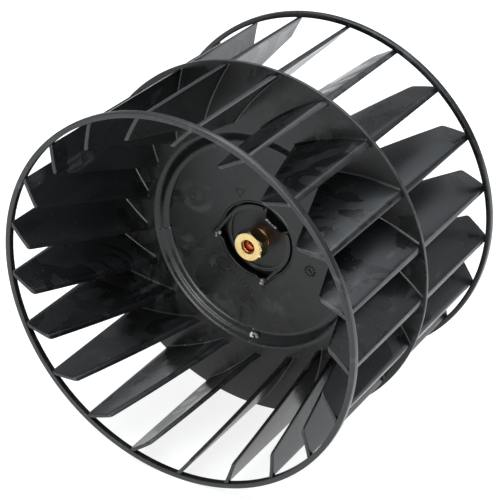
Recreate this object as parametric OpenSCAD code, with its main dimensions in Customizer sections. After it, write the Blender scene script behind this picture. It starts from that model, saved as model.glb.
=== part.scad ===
// Double-inlet centrifugal blower wheel with a clamp-nut hub.
// The spin axis is Y and the front, with the clamp nut, faces -Y.
// The origin is on the spin axis, half way between the two end rings.

/* [Wheel] */
// Outer diameter over the end rings
wheel_d = 170; // [150:1:190]
// Overall width along the spin axis, over the end rings
wheel_w = 131; // [110:1:150]
// Radial width of an end ring
ring_band = 2.4; // [2:0.1:4]
// Width of an end ring along the spin axis
ring_w = 3; // [2.5:0.1:5]

/* [Blades] */
// Number of blades on each side of the centre disc
blade_count = 21; // [15:1:21]
// Thickness of a blade where it meets the disc
blade_root_t = 2.3; // [1.8:0.1:2.6]
// Thickness of a blade at its end ring
blade_end_t = 1.7; // [1.3:0.1:2]
// Angle of the first blade's outer edge above the X axis
blade_start = 13.8; // [0:0.1:17]
// Turn of a blade from its outer edge to its root by the disc
blade_sweep = 19.2; // [12:0.1:24]
// Rise of a blade's curve over its chord
blade_bow = 1.3; // [1:0.1:3]
// Radius of the blades' inner edge where it meets the disc
blade_root_r = 55.9; // [54:0.1:60]
// Radius of the blades' inner edge at the end ring
blade_tip_r = 72.9; // [66:0.1:76]
// Setback of a blade's end from the outer face of its ring
blade_setback = 0.3; // [0.1:0.1:1.5]

/* [Centre disc] */
// Diameter of the centre disc
disc_d = 168.2; // [168:0.1:169]
// Wall thickness of the disc and its pan
disc_t = 1.5; // [1.2:0.1:2]
// Radius where the pan's slope starts
pan_outer_r = 50.8; // [50:0.1:53]
// Radius where the pan's slope ends on its floor
pan_inner_r = 47.4; // [42:0.1:48]
// Depth of the pan's floor behind the disc's front face
pan_depth = 3.6; // [2:0.1:6]

/* [Hub cup] */
// Radius of the pan's opening for the hub cup
opening_r = 17.8; // [17.4:0.1:18.4]
// Outer radius of the cup's wall
cup_r = 16.6; // [16.2:0.1:16.9]
// Thickness of the cup's wall
cup_wall = 1.6; // [1.4:0.1:2]
// Depth from the pan's floor to the cup's floor
cup_depth = 4; // [3.5:0.1:5]
// Thickness of the cup's floor
cup_floor = 2.4; // [2:0.1:3]
// Radius of the flange that backs the pan
flange_r = 27; // [26:0.1:30]
// Radius of the boss that holds the bush
boss_r = 8.4; // [7.5:0.1:8.6]
// Length of a latch finger from the end of its lip to its tip
finger_len = 12; // [10:0.1:13]
// Outward lean of a latch finger
finger_lean = 6; // [0:0.5:8]
// Distance from the axis to the straight edge of the cup's pocket
pocket_r = 9; // [8.7:0.1:10]
// Depth of the cup's pocket behind the back of its floor
pocket_depth = 3; // [2:0.5:5]
// Length of the boss behind the cup's floor
boss_len = 8; // [6:0.5:12]
// Number of stiffening ribs behind the cup's floor
rib_count = 6; // [3:1:8]

/* [Clamp] */
// Diameter of the motor shaft that the hub fits
shaft_d = 6; // [5:0.1:6.4]
// Size of the nut across its flats
nut_af = 13; // [12.5:0.1:14]
// Length of the nut
nut_len = 6.3; // [5.5:0.1:7]
// Distance of the nut's front face ahead of the disc's front face
nut_proud = 4.5; // [4:0.1:6]
// Major diameter of the bush's thread
thread_d = 10; // [9.8:0.1:10.2]
// Radius of the bush's collar behind the nut
collar_r = 5.7; // [5.4:0.1:6]

/* [Hidden] */
$fn = 96;
eps = 0.01;
plastic = [0.11, 0.11, 0.115];
brass = [0.86, 0.70, 0.38];
copper = [0.72, 0.42, 0.26];

wheel_r = wheel_d / 2;
half_w = wheel_w / 2;
ring_in_r = wheel_r - ring_band;
pitch = 360 / blade_count;
blade_end = half_w - blade_setback;

// The blade's mean line is an arc through its outer end and its root.
outer_pt = [ring_in_r, 0];
root_pt = blade_root_r * [cos(blade_sweep), sin(blade_sweep)];
chord = root_pt - outer_pt;
chord_len = norm(chord);
blade_arc_r = (chord_len * chord_len / 4 + blade_bow * blade_bow) / (2 * blade_bow);
bow_dir = [chord[1], -chord[0]] / chord_len;
blade_centre = (outer_pt + root_pt) / 2 + bow_dir * (blade_bow - blade_arc_r);

floor_z = -pan_depth;
flange_z = floor_z - disc_t;
flange_t = 1.5;
groove_r = 22.8;
groove_wall = 1.4;
groove_bed = 1.2;
skirt_r = groove_r + groove_wall;
lip_setback = 0.3;
lip_z = floor_z - lip_setback;
cup_in_r = cup_r - cup_wall;
cup_floor_z = floor_z - cup_depth;
cup_back_z = cup_floor_z - cup_floor;
groove_z = cup_back_z + groove_bed;
low_wall_h = 1.2;
low_wall_z = cup_floor_z + low_wall_h;
boss_back_z = cup_back_z - boss_len;
rib_t = 1.5;
rib_h = boss_len / 2;

// The hub's lips, fingers and notches are set out either side of this diagonal.
hub_axis = 51.5;
pocket_half_turn = 27.5;
finger_turn = 97.5;
lip_start_turn = pocket_half_turn + 1;
lip_mid = (lip_start_turn + finger_turn) / 2;
lip_half_turn = (finger_turn - lip_start_turn) / 2;
finger_w = 1.4;
finger_t = 1;
finger_overlap = 0.2;
barb_len = 1.8;
barb_w = 1;
finger_root_r = cup_r - finger_w + finger_overlap;
notch_gap = 0.3;
pocket_wall = 1.2;
block_margin = 5;
pocket_back_z = cup_back_z - pocket_depth;
pocket_overrun = 1.5;
pocket_reach = cup_r + pocket_overrun;

nut_back_z = nut_proud - nut_len;
nut_lip = 1.5;
nut_hole_r = shaft_d / 2 + 0.2;
nut_hole_chamfer = 0.3;
nut_corner_r = nut_af / (2 * cos(30));
nut_corner = 26.5;
nut_chamfer = 0.6;
thread_fit = 0.08;
stud_r = thread_d / 2 - thread_fit;
stud_front_z = 1.5;
collar_gap = 1.5;
collar_front_z = nut_back_z - collar_gap;
shank_af = 9.2;
shank_corner_r = shank_af / (2 * cos(30));
relief = 0.6;

collet_r = 4;
collet_fit = 0.06;
collet_back_z = -1.2;
seat_z = -1.5;
collet_front_z = nut_proud - nut_lip - 0.05;
collet_slit = 0.7;

function two_digits(i) = i < 10 ? str("0", i) : str(i);
function blade_names(side) = [for (i = [1:blade_count]) str(side, "_blade_", two_digits(i))];

FRONT_BLADES = blade_names("front");
REAR_BLADES = blade_names("rear");

// Stands a shape drawn along Z onto the spin axis, with its +Z end facing the front.
module on_axis() {
    rotate([90, 0, 0]) children();
}

// Tube along Z from z0 to z1.
module tube(r_out, r_in, z0, z1) {
    difference() {
        translate([0, 0, z0]) cylinder(r = r_out, h = z1 - z0);
        translate([0, 0, z0 - 1]) cylinder(r = r_in, h = z1 - z0 + 2);
    }
}

// Wedge of a turn, centred on the angle mid, for cutting arcs out of tubes.
module wedge(mid, half_turn, r, z0, z1) {
    reach = r / cos(half_turn);
    rotate([0, 0, mid])
        translate([0, 0, z0])
            linear_extrude(height = z1 - z0)
                polygon([
                    [0, 0],
                    reach * [cos(half_turn), -sin(half_turn)],
                    reach * [cos(half_turn), sin(half_turn)]
                ]);
}

// End ring whose outer face is half_w from the middle of the wheel.
module end_ring() {
    color(plastic)
        tube(wheel_r, ring_in_r, half_w - ring_w, half_w);
}

module front_ring() {
    on_axis() end_ring();
}

module rear_ring() {
    on_axis() mirror([0, 0, 1]) end_ring();
}

// Curved sheet of one blade, standing on the plane z0 and thinning out to blade_end.
module blade_sheet(z0) {
    height = blade_end - z0;
    thinning = (blade_root_t - blade_end_t) / 2 / height;
    translate([blade_centre[0], blade_centre[1], z0])
        difference() {
            cylinder(
                r1 = blade_arc_r + blade_root_t / 2,
                r2 = blade_arc_r + blade_end_t / 2,
                h = height,
                $fn = 360
            );
            translate([0, 0, -1])
                cylinder(
                    r1 = blade_arc_r - blade_root_t / 2 - thinning,
                    r2 = blade_arc_r - blade_end_t / 2 + thinning,
                    h = height + 2,
                    $fn = 360
                );
        }
}

// One blade at angle 0: the curved sheet, trimmed to the rings' bore outside
// and to the cone that runs from the blades' roots to the ring inside.
module blade(z0) {
    margin = 12;
    height = blade_end - z0;
    difference() {
        intersection() {
            blade_sheet(z0);
            translate([0, 0, z0]) cylinder(r = ring_in_r, h = height, $fn = 180);
            translate([0, -margin, z0 - 1]) cube([wheel_r, wheel_r / 2 + margin, height + 2]);
        }
        translate([0, 0, z0])
            cylinder(r1 = blade_root_r, r2 = blade_tip_r, h = height, $fn = 180);
        translate([0, 0, z0 - 1]) cylinder(r = blade_root_r, h = 1 + eps, $fn = 180);
        translate([0, 0, blade_end - eps]) cylinder(r = blade_tip_r, h = 1, $fn = 180);
    }
}

module front_blade(i) {
    color(plastic)
        on_axis() rotate([0, 0, blade_start + i * pitch]) blade(0);
}

module rear_blade(i) {
    color(plastic)
        on_axis()
            rotate([0, 0, blade_start + i * pitch])
                mirror([0, 0, 1]) blade(disc_t);
}

// Places its children at the root of each latch finger, turned so that +Y runs to the tip.
module at_fingers() {
    for (side = [-1, 1])
        rotate([0, 0, hub_axis + side * finger_turn])
            mirror([0, side < 0 ? 1 : 0, 0])
                translate([finger_root_r, 0, 0])
                    rotate([0, 0, -finger_lean])
                        children();
}

// Disc with a dished pan, an opening for the hub cup and two notches for its latch fingers.
module centre_disc() {
    disc_r = disc_d / 2;
    notch_in = finger_root_r / 2;
    color(plastic)
        on_axis()
            difference() {
                rotate_extrude($fn = 180)
                    polygon([
                        [opening_r, floor_z],
                        [pan_inner_r, floor_z],
                        [pan_outer_r, 0],
                        [disc_r, 0],
                        [disc_r, -disc_t],
                        [pan_outer_r, -disc_t],
                        [pan_inner_r, flange_z],
                        [opening_r, flange_z]
                    ]);
                at_fingers()
                    translate([-notch_in, 0, flange_z - 1])
                        cube([notch_in + finger_w + notch_gap, finger_len + notch_gap, disc_t + 2]);
            }
}

// Straight latch finger that carries on from the end of a lip, with a barb at its tip.
module latch_finger() {
    translate([0, -1, lip_z - finger_t]) cube([finger_w, finger_len + 1, finger_t]);
    translate([-barb_w, finger_len - barb_len, lip_z - finger_t])
        cube([finger_w + barb_w, barb_len, finger_t + lip_setback]);
}

// Full-height ring of the cup's wall, from which the two lips are cut.
module cup_lip() {
    tube(cup_r, cup_in_r, cup_floor_z - cup_floor / 2, lip_z);
}

// Rib that braces the cup's floor against the boss behind it.
module boss_rib() {
    translate([boss_r - 1, -rib_t / 2, cup_back_z - rib_h])
        cube([cup_r - boss_r, rib_t, rib_h + cup_floor / 2]);
}

// Boss, floor and low wall of the cup, with a groove round it that clears the latch fingers
// and a flange that backs the pan.
module cup_body() {
    rotate_extrude()
        polygon([
            [0, boss_back_z],
            [boss_r, boss_back_z],
            [boss_r, cup_back_z],
            [skirt_r, cup_back_z],
            [skirt_r, flange_z - flange_t],
            [flange_r, flange_z - flange_t],
            [flange_r, flange_z],
            [groove_r, flange_z],
            [groove_r, groove_z],
            [cup_r, groove_z],
            [cup_r, low_wall_z],
            [cup_in_r, low_wall_z],
            [cup_in_r, cup_floor_z],
            [0, cup_floor_z]
        ]);
}

// Block behind the cup's floor that closes the back of its pocket.
module pocket_block() {
    back_z = pocket_back_z - pocket_wall;
    front_z = cup_back_z + groove_bed / 2;
    intersection() {
        wedge(hub_axis, pocket_half_turn + block_margin, skirt_r, back_z, front_z);
        translate([0, 0, back_z - 1]) cylinder(r = groove_r, h = front_z - back_z + 2);
    }
}

// Pocket sunk through the cup's floor and low wall, with a straight inner edge.
module cup_pocket() {
    depth = lip_z - pocket_back_z;
    intersection() {
        wedge(hub_axis, pocket_half_turn, pocket_reach, pocket_back_z, lip_z);
        translate([0, 0, pocket_back_z]) cylinder(r = pocket_reach, h = depth);
        rotate([0, 0, hub_axis])
            translate([pocket_r, -pocket_reach, pocket_back_z])
                cube([pocket_reach, 2 * pocket_reach, depth]);
    }
}

// Cup in the pan's opening: two lips with their latch fingers, a low wall between them,
// a groove and flange behind the pan, a pocket, and a ribbed boss behind for the bush.
module hub_cup() {
    color(plastic)
        on_axis()
            difference() {
                union() {
                    cup_body();
                    pocket_block();
                    for (side = [-1, 1])
                        intersection() {
                            cup_lip();
                            wedge(hub_axis + side * lip_mid, lip_half_turn, flange_r,
                                cup_back_z, lip_z + 1);
                        }
                    at_fingers() latch_finger();
                    for (i = [0:rib_count - 1])
                        rotate([0, 0, hub_axis + (i + 0.5) * 360 / rib_count]) boss_rib();
                }
                cup_pocket();
                translate([0, 0, boss_back_z - 1])
                    cylinder(r = shank_corner_r, h = wheel_w, $fn = 6);
            }
}

// Bush with a hexagonal shank in the boss, a collar on the cup's floor,
// a threaded nose for the nut, the motor shaft's bore, and a seat for the collet.
module shaft_bush() {
    color(copper)
        on_axis()
            difference() {
                union() {
                    translate([0, 0, boss_back_z])
                        cylinder(r = shank_corner_r, h = cup_floor_z - boss_back_z, $fn = 6);
                    translate([0, 0, cup_floor_z])
                        cylinder(r = collar_r, h = collar_front_z - relief - cup_floor_z);
                    translate([0, 0, collar_front_z - relief - eps])
                        cylinder(r1 = collar_r, r2 = collar_r - relief, h = relief + eps);
                    translate([0, 0, collar_front_z - eps])
                        cylinder(r = stud_r, h = stud_front_z - collar_front_z + eps);
                }
                translate([0, 0, boss_back_z - 1]) cylinder(r = shaft_d / 2, h = wheel_w);
                translate([0, 0, seat_z]) cylinder(r = collet_r + collet_fit, h = half_w);
            }
}

// Split sleeve round the motor shaft, pushed along by the nut's lip.
module clamp_collet() {
    color(copper)
        on_axis()
            difference() {
                tube(collet_r, shaft_d / 2, collet_back_z, collet_front_z);
                rotate([0, 0, hub_axis])
                    translate([0, -collet_slit / 2, collet_back_z - 1])
                        cube([collet_r + 1, collet_slit, nut_len + 2]);
            }
}

// Hexagon nut with chamfered corners, a threaded bore behind and a lipped hole in front.
module clamp_nut() {
    face_r = nut_af / 2;
    cone_h = nut_corner_r - face_r + nut_chamfer;
    color(brass)
        on_axis()
            difference() {
                intersection() {
                    translate([0, 0, nut_back_z])
                        rotate([0, 0, nut_corner])
                            cylinder(r = nut_corner_r, h = nut_len, $fn = 6);
                    union() {
                        translate([0, 0, nut_back_z]) cylinder(r = nut_corner_r + 1, h = nut_len - cone_h);
                        translate([0, 0, nut_proud - cone_h])
                            cylinder(r1 = face_r + cone_h, r2 = face_r, h = cone_h);
                    }
                }
                translate([0, 0, nut_back_z - 1])
                    cylinder(r = thread_d / 2, h = nut_len - nut_lip + 1);
                translate([0, 0, nut_back_z]) cylinder(r = nut_hole_r, h = nut_len + 1);
                translate([0, 0, nut_proud - nut_hole_chamfer])
                    cylinder(r1 = nut_hole_r, r2 = nut_hole_r + nut_hole_chamfer + eps,
                        h = nut_hole_chamfer + eps);
            }
}

centre_disc();
front_ring();
rear_ring();
hub_cup();
shaft_bush();
clamp_collet();
clamp_nut();
for (i = [0:blade_count - 1]) {
    front_blade(i);
    rear_blade(i);
}
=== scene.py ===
"""Looks for the double-inlet blower wheel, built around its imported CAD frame.

The wheel lies on the rims of its end rings. Its spin axis is Y, and the clamp nut faces -Y.
Shapes are drawn in millimetres in the hub's own frame: u to the right, v up and w to the front.
Angles are in degrees about the axis, from u towards v, seen from the front.
"""

import math
import random

import bmesh
import bpy
from mathutils import Matrix, Vector, noise


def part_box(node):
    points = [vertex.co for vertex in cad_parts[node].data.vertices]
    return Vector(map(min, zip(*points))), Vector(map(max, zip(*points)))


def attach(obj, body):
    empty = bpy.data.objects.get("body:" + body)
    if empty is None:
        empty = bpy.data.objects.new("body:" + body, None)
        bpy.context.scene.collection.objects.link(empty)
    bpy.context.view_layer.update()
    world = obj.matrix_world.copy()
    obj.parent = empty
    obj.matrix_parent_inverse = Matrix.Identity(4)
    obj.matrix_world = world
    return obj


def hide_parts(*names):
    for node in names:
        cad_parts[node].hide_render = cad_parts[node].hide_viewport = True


MM = 0.001
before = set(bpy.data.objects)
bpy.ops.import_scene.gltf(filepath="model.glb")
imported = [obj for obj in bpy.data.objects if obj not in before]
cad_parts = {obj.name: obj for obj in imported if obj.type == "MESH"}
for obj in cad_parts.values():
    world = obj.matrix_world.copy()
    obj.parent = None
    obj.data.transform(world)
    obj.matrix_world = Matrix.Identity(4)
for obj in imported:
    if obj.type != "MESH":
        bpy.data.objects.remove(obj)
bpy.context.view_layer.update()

# ---------------------------------------------------------------- sizes, in millimetres

ring_low, ring_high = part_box("front_ring")
WHEEL_R = ring_high.x / MM
HALF_W = -ring_low.y / MM
RING_W = (ring_high.y - ring_low.y) / MM
RING_WALL = 2.4
RING_IN_R = WHEEL_R - RING_WALL
RING_EDGE = 0.4
RING_SEGMENTS = 540

DISC_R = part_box("centre_disc")[1].x / MM
DISC_T = 1.5
DISC_SEGMENTS = 1080
RIM_REACH = 3
RIM_ROUND = 0.35
PAN_OUTER_R = 50.8
PAN_INNER_R = 47.4
PAN_FILLET = 2.1
FLOOR_W = -3.6
CUP_FLOOR_W = -7.6
CUP_IN_R = 15.0
OPENING_R = 17.8
MOUTH_R = 25.0
LIP_ROUND = 0.4

# Rounded bead round the pan's opening: its height, its width and the width of its slope
BEAD = 0.22
BEAD_REACH = 1
BEAD_SLOPE = 0.3

# Narrow shelf half way up the pan's slope, between two angles: (r, w) corners of the slope there
SHELF_FROM = 188
SHELF_TO = 268
SHELF_ROUND = 1.0
SHELF_CORNERS = (
    (PAN_INNER_R - 1.2, FLOOR_W),
    (PAN_INNER_R + 0.7, -1.9),
    (PAN_INNER_R + 2, -1.6),
    (PAN_OUTER_R + 0.5, 0),
)

BLADES = 21
BLADE_PITCH = 360 / BLADES
BLADE_START = 13.8
BLADE_SWEEP = 19.2
BLADE_BOW = 1.3
BLADE_ROOT_T = 2.3
BLADE_END_T = 1.7
BLADE_ROOT_R = 55.9
BLADE_TIP_R = 72.9
BLADE_END = HALF_W - 0.3
BLADE_EDGE = 0.3
BLADE_CORNER = 1.2
BLADE_FILLET = 0.7
BLADE_FACE_STEPS = 14
BLADE_LEVELS = 16
CUT_SHARE = 0.3  # how far in a blunted edge has its middle point

HUB_AXIS = 51.5
FINGER_TURN = 97.5
FINGER_LEAN = 6
FINGER_ROOT_R = 15.4
NOTCH_W = 1.7
NOTCH_LEN = 12.3
PARALLEL = 1e-9
FINGER_TIPS = ((-20.3, -2.6), (2.2, -20.3))
POCKET_EDGE = ((2.4, 8.8), (7.4, 5.8))

# Moulded marks on the pan, as (u, v) places
DIAL = (26.8, -8.1)
DIAL_R = 2.8
DIAL_TICKS = 12
POINTER_ANGLE = 135
MARK_ROW = ((-15.1, -17.9), (-3.0, -26.7))
MARK_BARS = 8
MARK_DASHES = ((-23.7, -12.9), (-15.6, -14.1))
DASHES = 5
DASH_SHARE = 0.6
DASH_SHIFT = (0.5, -6.5)
MARK_TRIANGLE = (-8.7, 21.2)
TRIANGLE_R = 2.6

# Wear and residue
SWIRL = (-31.0, 13.8)
SCUFF = (7.8, -30.9)
STEP_LUMP = (-0.4, -48.6)
STEP_LUMP_W = -1.9
BURR_ANGLES = (-27, -20, -9, 1, 9, 19, 26, 33, 39)
BURR_R = 6.4
BURR_W = 4.3
BURR_SIZE = (0.8, 0.26, 0.3)

# Softened CAD shapes: faces over FLAT_AREA (square millimetres) are shaded flat
FLAT_AREA = 12
COPLANAR_ANGLE = 0.5
KEEN_ANGLE = 25

# ---------------------------------------------------------------- looks

TOP_GLOW = 0.75
SIDE_GLOW = 0.12
FLOOR_GLOW = 0.82
SKY_TINT = (0.91, 0.96, 1, 1)
LAMP_TINT = (0.87, 0.94, 1)
WHITE = (1, 1, 1, 1)
FLOOR_GREY = (0.42, 0.42, 0.42, 1)

DUST_GREY = (0.30, 0.31, 0.32, 1)
# Colour of the painted edge highlight: a lighter grey that stands in for light caught along an edge
EDGE_HIGHLIGHT_GREY = (0.05, 0.051, 0.053, 1)
RUBBED_GREY = (0.045, 0.046, 0.048, 1)
SCUFF_TIMES_HAZE = 3.2
PAN_SPECULAR = 0.38
# Almost no reflection for the moulded marks: painted shade, so that they stay as dark as shadowed
# engraved marks
SHADE_SPECULAR = 0.03

# Camera: angles in degrees, distance and aim in wheel radii, lens and sensor in millimetres
CAMERA_AZIMUTH = 31
CAMERA_ELEVATION = 28.64
CAMERA_DISTANCE = 8.7213
AIM_RIGHT = -0.0148
AIM_UP = -0.0363
LENS = 122
SENSOR = 36


# ---------------------------------------------------------------- material helpers

def new_material(name):
    """An empty node material, its node tree and its main shader."""
    material = bpy.data.materials.new(name)
    material.use_nodes = True
    return material, material.node_tree, material.node_tree.nodes["Principled BSDF"]


def put(tree, kind, settings=None, **inputs):
    """Adds a node. Inputs are given by socket name, as values or as sockets to link."""
    made = tree.nodes.new(kind)
    for key, value in (settings or {}).items():
        setattr(made, key, value)
    for key, value in inputs.items():
        socket = made.inputs[int(key[1:])] if key[0] == "_" else made.inputs[key.replace("_", " ")]
        if isinstance(value, bpy.types.NodeSocket):
            tree.links.new(value, socket)
        else:
            socket.default_value = value
    return made


def math_node(tree, operation, a, b=0.0):
    """One sum on two numbers or sockets."""
    return put(tree, "ShaderNodeMath", {"operation": operation}, _0=a, _1=b).outputs[0]


def times(tree, a, b):
    """Product of two numbers or sockets."""
    return math_node(tree, "MULTIPLY", a, b)


def larger(tree, a, b):
    """The larger of two numbers or sockets."""
    return math_node(tree, "MAXIMUM", a, b)


def spread(tree, value, low, high, to_low=0, to_high=1):
    """Maps a number from one range to another, smoothly and without overshoot."""
    made = put(
        tree,
        "ShaderNodeMapRange",
        {"interpolation_type": "SMOOTHSTEP"},
        Value=value,
        From_Min=low,
        From_Max=high,
        To_Min=to_low,
        To_Max=to_high,
    )
    return made.outputs[0]


def blend(tree, share, a, b):
    """Mix of two colours."""
    return put(tree, "ShaderNodeMix", {"data_type": "RGBA"}, Factor=share, _6=a, _7=b).outputs[2]


def clouds(tree, place, scale, detail=3, distortion=0.0, stretch=(1, 1, 1)):
    """Soft noise of about 1 / scale metres, which can be stretched along an axis."""
    mapped = put(tree, "ShaderNodeMapping", Vector=place, Scale=stretch)
    made = put(
        tree,
        "ShaderNodeTexNoise",
        Vector=mapped.outputs[0],
        Scale=scale,
        Detail=detail,
        Distortion=distortion,
    )
    return made.outputs[0]


def specks(tree, place, scale, share, size):
    """Sparse round specks: one cell in so many, near the middle of its cell."""
    cells = put(tree, "ShaderNodeTexVoronoi", Vector=place, Scale=scale)
    pick = put(tree, "ShaderNodeSeparateColor", Color=cells.outputs["Color"])
    chosen = math_node(tree, "GREATER_THAN", pick.outputs[0], 1 - share)
    spot = spread(tree, cells.outputs["Distance"], size * 0.5, size, 1, 0)
    return times(tree, chosen, spot)


def distance_from(tree, place, centre, squeeze=(1, 1, 1)):
    """Distance from a point, in millimetres. squeeze (1, 0, 1) measures from the axis instead."""
    offset = put(tree, "ShaderNodeVectorMath", {"operation": "SUBTRACT"}, _0=place, _1=centre)
    flat = put(tree, "ShaderNodeVectorMath", {"operation": "MULTIPLY"}, _0=offset.outputs[0], _1=squeeze)
    length = put(tree, "ShaderNodeVectorMath", {"operation": "LENGTH"}, _0=flat.outputs[0])
    return math_node(tree, "DIVIDE", length.outputs["Value"], MM)


def band(tree, value, low, high, soft):
    """1 between low and high, falling to 0 over the distance soft on each side."""
    rise = spread(tree, value, low - soft, low)
    fall = spread(tree, value, high, high + soft, 1, 0)
    return times(tree, rise, fall)


# ---------------------------------------------------------------- materials

def stains(tree, place, soft):
    """Ragged stains where the soft noise is high, and thin hair scratches."""
    ragged = clouds(tree, place, 48, detail=12, distortion=1.4)
    patches = times(tree, spread(tree, ragged, 0.51, 0.53), spread(tree, soft, 0.43, 0.5))
    hair = clouds(tree, place, 75, detail=3, distortion=2.5)
    scratched = spread(tree, clouds(tree, place, 38, detail=2), 0.58, 0.62)
    scratches = times(tree, band(tree, hair, 0.497, 0.503, 0.005), scratched)
    return larger(tree, patches, scratches)


def grime_specks(tree, place):
    """Dust, and finer lint."""
    dust = specks(tree, place, 330, share=0.16, size=0.11)
    lint = specks(tree, place, 700, share=0.07, size=0.15)
    return larger(tree, dust, lint)


def pale_scuffs(tree, place):
    """Pale scuffs, stretched along the wheel's width, in a few areas."""
    streaks = clouds(tree, place, 90, detail=10, distortion=1.2, stretch=(1, 0.3, 1))
    areas = clouds(tree, place, 18, detail=2)
    return times(tree, spread(tree, streaks, 0.52, 0.64), spread(tree, areas, 0.5, 0.6))


def painted_edge_highlight(tree, place, radius):
    """Broken line of painted highlight at one distance from the axis: lighter colour that stands in for
    the bright line of light along an edge.
    """
    axis_gap = distance_from(tree, place, (0, 0, 0), (1, 0, 1))
    patchy = clouds(tree, place, 160, detail=5, distortion=0.8)
    lit_share = spread(tree, patchy, 0.35, 0.6, 0.35, 0.8)
    return times(tree, band(tree, axis_gap, radius - 0.15, radius + 0.15, 0.25), lit_share)


def polished_bands(tree, place):
    """Glossier rings of the disc: the pan's slope and the edge of its opening."""
    axis_gap = distance_from(tree, place, (0, 0, 0), (1, 0, 1))
    slope = band(tree, axis_gap, PAN_INNER_R - 2, PAN_OUTER_R + 1.6, 0.8)
    mouth = band(tree, axis_gap, OPENING_R - 1, OPENING_R + 0.9, 0.3)
    return larger(tree, slope, mouth)


def on_floor(spot):
    """Place in the frame, in metres, of a (u, v) spot on the pan's floor."""
    return (spot[0] * MM, -FLOOR_W * MM, spot[1] * MM)


def pan_marks(tree, place):
    """Rub marks on the pan's floor: a round swirl and a scuffed patch."""
    swirl = distance_from(tree, place, on_floor(SWIRL))
    rings = larger(tree, band(tree, swirl, 5.8, 7.2, 2.2), band(tree, swirl, 0.5, 1.6, 2))
    broken = spread(tree, clouds(tree, place, 75, detail=5, distortion=1.2), 0.42, 0.62)
    scuff = distance_from(tree, place, on_floor(SCUFF), (0.62, 1, 1))
    streaks = spread(tree, clouds(tree, place, 130, detail=5, distortion=1.5), 0.4, 0.62)
    patch = times(tree, band(tree, scuff, 0, 2.5, 3), streaks)
    return larger(tree, times(tree, rings, broken), patch)


def plastic_material(name, black, haze, gloss, highlight_r=0, pan=False, specular=0.5):
    """Black moulded plastic: hazy, with flow marks, stains, scuffs, dust and one painted edge highlight.

    gloss is its lowest roughness. The radius argument places the painted edge highlight, and 0 leaves it
    out.
    pan adds the marks and the polish of the disc's pan.
    """
    material, tree, shader = new_material(name)
    place = put(tree, "ShaderNodeTexCoord").outputs["Object"]
    soft = clouds(tree, place, 11, detail=2, distortion=0.4)
    flow = clouds(tree, place, 70, detail=4, distortion=0.6, stretch=(1, 0.2, 1))
    grain = clouds(tree, place, 2600, detail=2)
    stain = stains(tree, place, soft)
    grime = grime_specks(tree, place)

    pale = tuple(SCUFF_TIMES_HAZE * tone for tone in haze)
    colour = blend(tree, spread(tree, flow, 0.3, 0.7, 0.55, 1), (*black, 1), (*haze, 1))
    colour = blend(tree, pale_scuffs(tree, place), colour, (*pale, 1))
    colour = blend(tree, times(tree, stain, 0.75), colour, (*black, 1))
    if highlight_r:
        # Painted highlight: a lighter grey ring along an edge at the given radius
        colour = blend(tree, painted_edge_highlight(tree, place, highlight_r), colour, EDGE_HIGHLIGHT_GREY)
    if pan:
        colour = blend(tree, times(tree, pan_marks(tree, place), 0.5), colour, RUBBED_GREY)
    colour = blend(tree, times(tree, grime, 0.3), colour, DUST_GREY)
    tree.links.new(colour, shader.inputs["Base Color"])

    uneven = spread(tree, soft, 0.35, 0.65, gloss, gloss + 0.08)
    rough = math_node(tree, "ADD", uneven, spread(tree, flow, 0.3, 0.7, -0.03, 0.04))
    rough = math_node(tree, "SUBTRACT", rough, times(tree, stain, 0.1))
    rough = math_node(tree, "ADD", rough, times(tree, grime, 0.2))
    if pan:
        rough = math_node(tree, "SUBTRACT", rough, times(tree, polished_bands(tree, place), 0.1))
    tree.links.new(rough, shader.inputs["Roughness"])

    grain_height = 0.02 if pan else 0.1
    height = math_node(tree, "ADD", times(tree, grain, grain_height), times(tree, flow, 1.2))
    bump = put(tree, "ShaderNodeBump", Height=height, Strength=0.2, Distance=0.0002)
    tree.links.new(bump.outputs[0], shader.inputs["Normal"])
    shader.inputs["Specular IOR Level"].default_value = specular
    return material


def metal_material(name, deep, bright, gloss, ring_pitch):
    """Turned metal: fine rings about the axis, ring_pitch metres apart, tarnish and small dents."""
    material, tree, shader = new_material(name)
    place = put(tree, "ShaderNodeTexCoord").outputs["Object"]
    tarnish = clouds(tree, place, 320, detail=4, distortion=0.5)
    fine = clouds(tree, place, 2400)
    waves = put(
        tree,
        "ShaderNodeTexWave",
        {"wave_type": "RINGS", "rings_direction": "Y"},
        Vector=place,
        Scale=math.tau / (20 * ring_pitch),  # a wave texture of scale 1 repeats every tau / 20
        Distortion=0.6,
    )
    colour = blend(tree, spread(tree, tarnish, 0.35, 0.65), (*deep, 1), (*bright, 1))
    tree.links.new(colour, shader.inputs["Base Color"])
    tree.links.new(spread(tree, fine, 0.3, 0.7, gloss, gloss + 0.08), shader.inputs["Roughness"])
    height = math_node(tree, "ADD", times(tree, waves.outputs[1], 0.5), fine)
    bump = put(tree, "ShaderNodeBump", Height=height, Strength=0.12, Distance=0.00003)
    tree.links.new(bump.outputs[0], shader.inputs["Normal"])
    shader.inputs["Metallic"].default_value = 1
    return material


BLACK = (0.0035, 0.0036, 0.0038)
WHEEL_PLASTIC = plastic_material("wheel_plastic", BLACK, (0.0116, 0.0121, 0.0127), 0.28)
# The disc's rim (DISC_R) and the cup's lip (CUP_IN_R) get a painted edge highlight
DISC_PLASTIC = plastic_material(
    "disc_plastic", BLACK, (0.0066, 0.0068, 0.007), 0.3, DISC_R, pan=True, specular=PAN_SPECULAR
)
CUP_PLASTIC = plastic_material(
    "cup_plastic", BLACK, (0.0095, 0.0096, 0.0098), 0.4, CUP_IN_R, specular=PAN_SPECULAR
)
# Pale grey for the residue lumps: painted glint, standing in for the bright glints on small glossy lumps
GLINT_GREY_PLASTIC = plastic_material("residue_painted_glint", (0.07, 0.07, 0.072), (0.3, 0.3, 0.305), 0.2)
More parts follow.
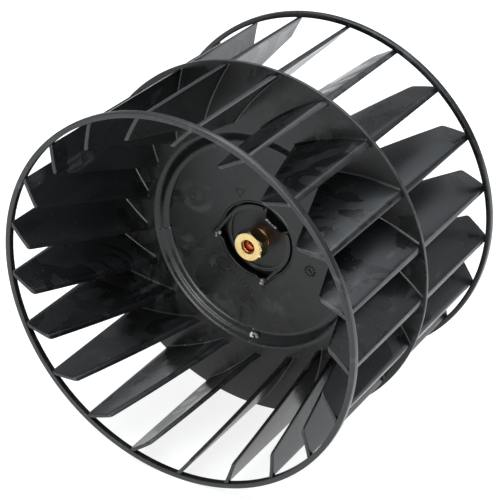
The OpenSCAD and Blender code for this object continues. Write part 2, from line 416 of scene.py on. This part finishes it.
# Black, barely reflecting plastic for the dial and marks: painted shade in place of the shadows in
# engraved marks
SHADE_BLACK_PLASTIC = plastic_material(
    "marks_painted_shade", (0.001, 0.001, 0.001), (0.002, 0.002, 0.002), 0.5, specular=SHADE_SPECULAR
)
BRASS = metal_material("brass", (0.62, 0.46, 0.19), (0.70, 0.54, 0.25), 0.26, 0.00022)
BURR_BRASS = metal_material("burr_brass", (0.30, 0.20, 0.08), (0.95, 0.82, 0.50), 0.2, 0.00022)
# Redder copy of the brass for the bush and collet: painted shade and warm interreflection, for brass
# seen deeper in the hub
RED_SHADED_BRASS = metal_material("copper", (0.66, 0.31, 0.15), (0.90, 0.50, 0.28), 0.17, 0.0003)


# ---------------------------------------------------------------- mesh helpers

def add_piece(
    name, points, faces, stands_for, material, body="wheel", sharp=40
):
    """Makes a piece from millimetre points in the hub's frame. It may stand for a CAD node."""
    mesh = bpy.data.meshes.new(name)
    mesh.from_pydata([(u * MM, -w * MM, v * MM) for u, v, w in points], [], faces)
    finish_piece(name, mesh, stands_for, material, body, sharp)


def finish_piece(name, mesh, stands_for, material, body, sharp):
    """Sorts out a mesh's normals and shading, and hands its piece to the frame."""
    shape = bmesh.new()
    shape.from_mesh(mesh)
    bmesh.ops.remove_doubles(shape, verts=shape.verts, dist=0.00001 * MM)
    bmesh.ops.recalc_face_normals(shape, faces=shape.faces)
    shape.to_mesh(mesh)
    shape.free()
    mesh.polygons.foreach_set("use_smooth", [True] * len(mesh.polygons))
    mesh.set_sharp_from_angle(angle=math.radians(sharp))
    mesh.materials.clear()
    mesh.materials.append(material)
    piece = bpy.data.objects.new(name, mesh)
    bpy.context.scene.collection.objects.link(piece)
    if stands_for:
        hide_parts(stands_for)
    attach(piece, body)
    return piece


def rounded(corners, radius, steps=3):
    """Closed outline with its corners rounded off."""
    outline = []
    for index, corner in enumerate(corners):
        here = Vector(corner)
        before = Vector(corners[index - 1]) - here
        after = Vector(corners[(index + 1) % len(corners)]) - here
        reach = min(radius, before.length * 0.45, after.length * 0.45)
        start = here + before.normalized() * reach
        end = here + after.normalized() * reach
        for step in range(steps + 1):
            t = step / steps
            outline.append(tuple((1 - t) ** 2 * start + 2 * t * (1 - t) * here + t * t * end))
    return outline


def rounded_run(corners, radius, steps=3):
    """Open outline with its inner corners rounded off. Its two end corners are left out."""
    ends = steps + 1
    return rounded(corners, radius, steps)[ends:-ends]


def lathe(profile_at, segments):
    """Closed profile of (r, w) points turned about the axis. profile_at gives it for each angle."""
    points, faces = [], []
    for step in range(segments):
        angle = 360 * step / segments
        turn = math.radians(angle)
        profile = profile_at(angle)
        count = len(profile)
        points += [(r * math.cos(turn), r * math.sin(turn), w) for r, w in profile]
    for step in range(segments):
        near, far = step * count, (step + 1) % segments * count
        for index in range(count):
            after = (index + 1) % count
            faces.append((near + index, near + after, far + after, far + index))
    return points, faces


def softened(name, node, width, material, body="wheel", steps=2):
    """Copy of a CAD node's shape, with the edges over KEEN_ANGLE rounded off over width."""
    shape = bmesh.new()
    shape.from_mesh(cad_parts[node].data)
    bmesh.ops.remove_doubles(shape, verts=shape.verts, dist=0.001 * MM)
    flat = math.radians(COPLANAR_ANGLE)
    bmesh.ops.dissolve_limit(shape, angle_limit=flat, verts=shape.verts, edges=shape.edges)
    keen_angle = math.radians(KEEN_ANGLE)
    keen = [
        edge
        for edge in shape.edges
        if len(edge.link_faces) == 2 and edge.calc_face_angle() > keen_angle
    ]
    bmesh.ops.bevel(
        shape,
        geom=keen,
        offset=width * MM,
        offset_type="OFFSET",
        segments=steps,
        profile=0.6,
        affect="EDGES",
        clamp_overlap=True,
    )
    mesh = bpy.data.meshes.new(name)
    shape.to_mesh(mesh)
    shape.free()
    piece = finish_piece(name, mesh, node, material, body, sharp=30)
    for face in piece.data.polygons:
        face.use_smooth = face.area < FLAT_AREA * MM * MM


# ---------------------------------------------------------------- rings

def build_ring(name, node, side):
    """End ring with rounded edges."""
    inner, outer = side * (HALF_W - RING_W), side * HALF_W
    corners = [(RING_IN_R, inner), (WHEEL_R, inner), (WHEEL_R, outer), (RING_IN_R, outer)]
    profile = rounded(corners, RING_EDGE)
    points, faces = lathe(lambda angle: profile, RING_SEGMENTS)
    add_piece(name, points, faces, node, WHEEL_PLASTIC)


# ---------------------------------------------------------------- blades

def blade_curve():
    """Centre and radius of the arc that a blade's mean line follows."""
    sweep = math.radians(BLADE_SWEEP)
    outer = Vector((RING_IN_R, 0))
    root = Vector((BLADE_ROOT_R * math.cos(sweep), BLADE_ROOT_R * math.sin(sweep)))
    chord = root - outer
    radius = (chord.length ** 2 / 4 + BLADE_BOW ** 2) / (2 * BLADE_BOW)
    bow = Vector((chord.y, -chord.x)) / chord.length
    return (outer + root) / 2 + bow * (BLADE_BOW - radius), radius


CURVE_CENTRE, CURVE_R = blade_curve()


def on_blade(offset, reach):
    """Point at this offset from the mean line and this distance from the axis."""
    rho = CURVE_R + offset
    away = CURVE_CENTRE.length
    base = math.atan2(CURVE_CENTRE.y, CURVE_CENTRE.x)
    swing = math.acos((reach ** 2 - away ** 2 - rho ** 2) / (2 * rho * away))
    crossings = []
    for side in (-1, 1):
        angle = base + side * swing
        crossings.append(CURVE_CENTRE + rho * Vector((math.cos(angle), math.sin(angle))))
    return max(crossings, key=lambda point: point.x)


def blade_side(half, inner, outer, side, inset):
    """One face of a blade's section, from its outer edge to its inner edge."""
    edge, cut = BLADE_EDGE, CUT_SHARE * BLADE_EDGE
    half, inner, outer = half - inset, inner + inset, outer - inset
    face = [(half - edge, outer), (half - cut, outer - cut)]
    for step in range(BLADE_FACE_STEPS + 1):
        along = (inner - outer + 2 * edge) * step / BLADE_FACE_STEPS
        face.append((half, outer - edge + along))
    face += [(half - cut, inner + cut), (half - edge, inner)]
    return [on_blade(side * offset, reach) for offset, reach in face]


def blade_levels(base):
    """Heights along a blade, with the extra half thickness and the inset of its section there."""
    levels = []
    for rise in (-0.3, 0, 0.1, 0.25, 0.45, BLADE_FILLET):
        fall = max(0, 1 - max(rise, 0) / BLADE_FILLET)
        levels.append((base + rise, BLADE_FILLET * (1 - math.sqrt(1 - fall ** 2)), 0))
    start, stop = base + BLADE_FILLET, BLADE_END - BLADE_CORNER
    for step in range(1, BLADE_LEVELS + 1):
        levels.append((start + (stop - start) * step / BLADE_LEVELS, 0, 0))
    levels += [(BLADE_END - BLADE_CORNER * (1 - share), 0, 0) for share in (0.3, 0.55)]
    cut = CUT_SHARE * BLADE_EDGE
    levels += [(BLADE_END - BLADE_EDGE, 0, 0), (BLADE_END - cut, 0, cut), (BLADE_END, 0, BLADE_EDGE)]
    return levels


def blade_mesh(base):
    """Points and faces of one blade at angle 0, on the plane w = base."""
    points, faces = [], []
    for w, extra, inset in blade_levels(base):
        share = min(1, max(0, (w - base) / (BLADE_END - base)))
        half = (BLADE_ROOT_T + (BLADE_END_T - BLADE_ROOT_T) * share) / 2 + extra
        inner = BLADE_ROOT_R + (BLADE_TIP_R - BLADE_ROOT_R) * share
        past = max(0, w - (BLADE_END - BLADE_CORNER))
        inner += BLADE_CORNER - math.sqrt(max(0, BLADE_CORNER ** 2 - past ** 2)) if past else 0
        front = blade_side(half, inner, RING_IN_R, 1, inset)
        back = blade_side(half, inner, RING_IN_R, -1, inset)
        points += [(p.x, p.y, w) for p in front + back[::-1]]
    loop = len(front) * 2
    rows = len(points) // loop
    for row in range(rows - 1):
        near, far = row * loop, (row + 1) * loop
        for index in range(loop):
            after = (index + 1) % loop
            faces.append((near + index, near + after, far + after, far + index))
    for row in (0, rows - 1):
        first = row * loop
        last = first + loop - 1
        for k in range(loop // 2 - 1):
            faces.append((first + k, first + k + 1, last - 1 - k, last - k))
    return points, faces


def build_blades():
    """Both rows of blades, one piece each."""
    for side, prefix, base in ((1, "front", 0), (-1, "rear", DISC_T)):
        points, faces = blade_mesh(base)
        for number in range(1, BLADES + 1):
            turn = math.radians(BLADE_START + number * BLADE_PITCH)
            c, s = math.cos(turn), math.sin(turn)
            placed = [(u * c - v * s, u * s + v * c, side * w) for u, v, w in points]
            node = f"{prefix}_blade_{number:02d}"
            add_piece(node + "_shape", placed, faces, node, WHEEL_PLASTIC)


# ---------------------------------------------------------------- centre disc

def notch_reach(angle):
    """Distance from the axis to the edge of the pan's opening, with its two notches."""
    reach = OPENING_R
    lean = math.radians(FINGER_LEAN)
    for side in (-1, 1):
        local = math.radians(side * (angle - (HUB_AXIS + side * FINGER_TURN)))
        ray = Vector((math.cos(local + lean), math.sin(local + lean)))
        start = Vector((-FINGER_ROOT_R * math.cos(lean), -FINGER_ROOT_R * math.sin(lean)))
        near, far = 0.0, 1000.0
        across = (start.x, ray.x, -FINGER_ROOT_R / 2, NOTCH_W)
        along = (start.y, ray.y, 0, NOTCH_LEN)
        for origin, step, low, high in (across, along):
            if abs(step) < PARALLEL:
                continue
            hits = sorted(((low - origin) / step, (high - origin) / step))
            near, far = max(near, hits[0]), min(far, hits[1])
        if near < far:
            reach = max(reach, far)
    return reach


def pan_step(shelf):
    """Front of the pan's slope, plain or with a narrow shelf half way up."""
    if shelf:
        corners, radius, steps = SHELF_CORNERS, SHELF_ROUND, 4
    else:
        corners, radius, steps = ((PAN_INNER_R, FLOOR_W), (PAN_OUTER_R, 0)), PAN_FILLET, 9
    return rounded_run([(MOUTH_R, FLOOR_W), *corners, (DISC_R, 0)], radius, steps)


def build_disc():
    """Centre disc: rounded rim, softly filleted pan and a notched opening."""
    back = FLOOR_W - DISC_T
    rim_foot = DISC_R - RIM_REACH
    rim = rounded_run(
        [(rim_foot, 0), (DISC_R, 0), (DISC_R, -DISC_T), (rim_foot, -DISC_T)], RIM_ROUND
    )
    foot = OPENING_R + BEAD_REACH
    top = FLOOR_W + BEAD
    bead = (OPENING_R, top), (foot - BEAD_SLOPE, top), (foot, FLOOR_W)
    lip = rounded_run([(MOUTH_R, back), (OPENING_R, back), *bead, (MOUTH_R, FLOOR_W)], LIP_ROUND, 4)
    rear = rounded_run(
        [(DISC_R, -DISC_T), (PAN_OUTER_R, -DISC_T), (PAN_INNER_R, back), (MOUTH_R, back)],
        PAN_FILLET,
    )
    plain, shelved = pan_step(False), pan_step(True)

    def profile_at(angle):
        edge = notch_reach(angle)
        squeeze = (MOUTH_R - edge) / (MOUTH_R - OPENING_R)
        inner = [(edge + (r - OPENING_R) * squeeze, w) for r, w in lip]
        front = shelved if SHELF_FROM < angle < SHELF_TO else plain
        return front + rim + rear + [(MOUTH_R, back)] + inner + [(MOUTH_R, FLOOR_W)]

    points, faces = lathe(profile_at, DISC_SEGMENTS)
    add_piece("centre_disc_shape", points, faces, "centre_disc", DISC_PLASTIC)


def raised_bars(lines, half, rise, taper):
    """Low straight bars on the pan's floor, one along each line from a start to an end."""
    points, faces = [], []
    for start, end in lines:
        along = (Vector(end) - Vector(start)).normalized()
        across = Vector((-along.y, along.x))
        first = len(points)
        for w, trim in ((FLOOR_W - rise, 0), (FLOOR_W + rise - taper, 0), (FLOOR_W + rise, taper)):
            low, high = Vector(start) + along * trim, Vector(end) - along * trim
            for spot, side in ((low, -1), (high, -1), (high, 1), (low, 1)):
                corner = spot + across * (side * (half - trim))
                points.append((corner.x, corner.y, w))
        for near in (first, first + 4):
            far = near + 4
            for k in range(4):
                after = (k + 1) % 4
                faces.append((near + k, near + after, far + after, far + k))
        faces.append((first + 3, first + 2, first + 1, first))
        faces.append((first + 8, first + 9, first + 10, first + 11))
    return points, faces


def spoke(centre, angle, near, far):
    """Line that points away from centre, between two distances from it."""
    turn = math.radians(angle)
    along = Vector((math.cos(turn), math.sin(turn)))
    return Vector(centre) + along * near, Vector(centre) + along * far


def build_dial():
    """Plain moulded dial on the pan: raised radial ticks round a pointer, without figures."""
    pitch = 360 / DIAL_TICKS
    lines = [spoke(DIAL, pitch * step, DIAL_R * 0.62, DIAL_R) for step in range(DIAL_TICKS)]
    pointer = DIAL_R * 0.45
    lines.append(spoke(DIAL, POINTER_ANGLE, -pointer, pointer))
    points, faces = raised_bars(lines, half=0.25, rise=0.22, taper=0.08)
    # The ticks are painted black as shade, standing in for the shadows of engraved ticks
    add_piece("mould_dial", points, faces, "", SHADE_BLACK_PLASTIC)


def build_marks():
    """Plain moulded marks on the pan: a row of bars, two lines of dashes and an open triangle."""
    near, far = (Vector(end) for end in MARK_ROW)
    along = (far - near).normalized()
    across = Vector((-along.y, along.x))
    lines = []
    for step in range(MARK_BARS):
        spot = near.lerp(far, step / (MARK_BARS - 1))
        lines.append((spot - across, spot + across))
    near, far = (Vector(end) for end in MARK_DASHES)
    shift = Vector(DASH_SHIFT)
    for step in range(DASHES):
        start = near.lerp(far, step / DASHES)
        end = near.lerp(far, (step + DASH_SHARE) / DASHES)
        lines += [(start, end), (start + shift, end + shift)]
    corners = [spoke(MARK_TRIANGLE, 30 + 120 * step, 0, TRIANGLE_R)[1] for step in range(3)]
    lines += [(corners[step - 1], corners[step]) for step in range(3)]
    points, faces = raised_bars(lines, half=0.11, rise=0.06, taper=0.03)
    # These marks are painted black as shade too, like the dial's ticks
    add_piece("mould_marks", points, faces, "", SHADE_BLACK_PLASTIC)


# ---------------------------------------------------------------- residue and burrs

def lump(place, size, seed, turn=0):
    """Rough blob: a ball pushed in and out by noise, stretched to size and turned about the axis."""
    ball = bmesh.new()
    bmesh.ops.create_icosphere(ball, subdivisions=3, radius=1)
    shift = Vector((seed * 3.7, seed * 1.3, seed * 2.1))
    turned = Matrix.Rotation(math.radians(turn), 3, "Z")
    points = []
    for vert in ball.verts:
        coarse = noise.noise(vert.co * 1.6 + shift)
        fine = noise.noise(vert.co * 4 + shift)
        swollen = vert.co * (1 + 0.55 * coarse + 0.25 * fine)
        stretched = Vector(a * b for a, b in zip(swollen, size))
        points.append(tuple(Vector(place) + turned @ stretched))
    faces = [tuple(vert.index for vert in face.verts) for face in ball.faces]
    ball.free()
    return points, faces


def joined(blobs):
    """Points and faces of several shapes put together as one."""
    points, faces = [], []
    for some, more in blobs:
        faces += [tuple(index + len(points) for index in face) for face in more]
        points += some
    return points, faces


def build_lumps():
    """Gate and latch residue: rough blobs at the finger tips, the pocket's edge and the pan's step."""
    chance = random.Random(4)
    spots = []
    for u, v in FINGER_TIPS:
        for _ in range(6):
            place = (u + chance.uniform(-1.3, 1.3), v + chance.uniform(-1.3, 1.3), FLOOR_W)
            spots.append((place, chance.uniform(0.4, 0.8)))
    near, far = (Vector(end) for end in POCKET_EDGE)
    count = 9
    for step in range(count):
        u, v = near.lerp(far, step / (count - 1))
        w = CUP_FLOOR_W + 0.2
        place = (u + chance.uniform(-0.5, 0.5), v + chance.uniform(-0.5, 0.5), w)
        spots.append((place, chance.uniform(0.4, 0.75)))
    u, v = STEP_LUMP
    for step in range(count):
        turn = math.tau * step / count
        place = (u + 1.7 * math.cos(turn), v + 1.2 * math.sin(turn), STEP_LUMP_W)
        spots.append((place, chance.uniform(0.5, 0.85)))
    blobs = []
    for seed, (place, size) in enumerate(spots, start=1):
        blobs.append(lump(place, (size, size, size * 0.75), seed))
    points, faces = joined(blobs)
    # The lumps are real residue, and their pale grey is a painted glint
    add_piece("gate_residue", points, faces, "", GLINT_GREY_PLASTIC, sharp=180)


def build_burrs():
    """Wrench marks: small radial burrs along the edge of the nut's face."""
    blobs = []
    for seed, angle in enumerate(BURR_ANGLES, start=40):
        turn = math.radians(angle)
        place = (BURR_R * math.cos(turn), BURR_R * math.sin(turn), BURR_W)
        blobs.append(lump(place, BURR_SIZE, seed, angle))
    points, faces = joined(blobs)
    add_piece("nut_burrs", points, faces, "", BURR_BRASS, "nut", sharp=180)


# ---------------------------------------------------------------- hub

def build_hub():
    """Hub cup, bush, collet and nut with softened edges."""
    softened("hub_cup_shape", "hub_cup", 0.16, CUP_PLASTIC)
    # The bush and collet take the redder brass, painted as shaded
    softened("shaft_bush_shape", "shaft_bush", 0.25, RED_SHADED_BRASS)
    softened("clamp_collet_shape", "clamp_collet", 0.12, RED_SHADED_BRASS, "collet")
    softened("clamp_nut_shape", "clamp_nut", 0.14, BRASS, "nut")


# ---------------------------------------------------------------- stage

def soft_light(name, place, aim, size, power, tint=(1, 1, 1)):
    """Rectangular soft box that faces aim."""
    data = bpy.data.lights.new(name, "AREA")
    data.shape = "RECTANGLE"
    data.size, data.size_y = size
    data.energy = power
    data.color = tint
    light = bpy.data.objects.new(name, data)
    bpy.context.scene.collection.objects.link(light)
    light.location = place
    light.rotation_euler = (Vector(aim) - Vector(place)).to_track_quat("-Z", "Y").to_euler()


def build_stage():
    """Pale floor under the wheel, white surroundings and soft lights."""
    floor_z = -WHEEL_R * MM
    reach = 6
    mesh = bpy.data.meshes.new("floor")
    corners = ((-reach, -reach), (reach, -reach), (reach, reach), (-reach, reach))
    mesh.from_pydata([(x, y, floor_z) for x, y in corners], [], [(0, 1, 2, 3)])
    floor = bpy.data.objects.new("floor", mesh)
    bpy.context.scene.collection.objects.link(floor)
    pale, _, shader = new_material("pale_floor")
    shader.inputs["Base Color"].default_value = FLOOR_GREY
    shader.inputs["Roughness"].default_value = 0.9
    shader.inputs["Emission Color"].default_value = WHITE
    shader.inputs["Emission Strength"].default_value = FLOOR_GLOW
    mesh.materials.append(pale)

    build_world()
    centre = (0, 0, 0)
    soft_light("overhead", (0.1, 0.2, 1.1), centre, size=(1.4, 1.4), power=20, tint=LAMP_TINT)
    soft_light("front_window", (0.05, -1.35, 0.22), centre, size=(0.75, 0.5), power=10)


def build_world():
    """White surroundings, which light the wheel brightly from above and dimly from the sides.

    The camera sees them at full white. Everything else gets their glow, slightly blue.
    """
    world = bpy.data.worlds.new("studio")
    bpy.context.scene.world = world
    world.use_nodes = True
    tree = world.node_tree
    way = put(tree, "ShaderNodeTexCoord").outputs["Generated"]
    height = put(tree, "ShaderNodeSeparateXYZ", Vector=way)
    glow = spread(tree, height.outputs[2], 0.0, 0.75, SIDE_GLOW, TOP_GLOW)
    seen = put(tree, "ShaderNodeLightPath").outputs["Is Camera Ray"]
    background = tree.nodes["Background"]
    tree.links.new(larger(tree, glow, seen), background.inputs["Strength"])
    tree.links.new(blend(tree, seen, SKY_TINT, WHITE), background.inputs["Color"])
    bpy.context.scene.view_settings.view_transform = "Standard"


def build_camera():
    """Camera in front, to the right and above, aimed just beside the wheel's centre."""
    radius = WHEEL_R * MM
    azimuth, elevation = math.radians(CAMERA_AZIMUTH), math.radians(CAMERA_ELEVATION)
    level = math.cos(elevation)
    forward = Vector((-math.sin(azimuth) * level, math.cos(azimuth) * level, -math.sin(elevation)))
    right = Vector((math.cos(azimuth), math.sin(azimuth), 0))
    up = right.cross(forward)
    aim = AIM_RIGHT * radius * right + AIM_UP * radius * up
    place = Matrix.Translation(aim - CAMERA_DISTANCE * radius * forward)
    data = bpy.data.cameras.new("camera")
    data.sensor_width = SENSOR
    data.lens = LENS
    camera = bpy.data.objects.new("camera", data)
    bpy.context.scene.collection.objects.link(camera)
    camera.matrix_world = place @ Matrix((right, up, -forward)).transposed().to_4x4()
    bpy.context.scene.camera = camera


build_ring("front_ring_shape", "front_ring", 1)
build_ring("rear_ring_shape", "rear_ring", -1)
build_blades()
build_disc()
build_dial()
build_marks()
build_hub()
build_lumps()
build_burrs()
build_stage()
build_camera()
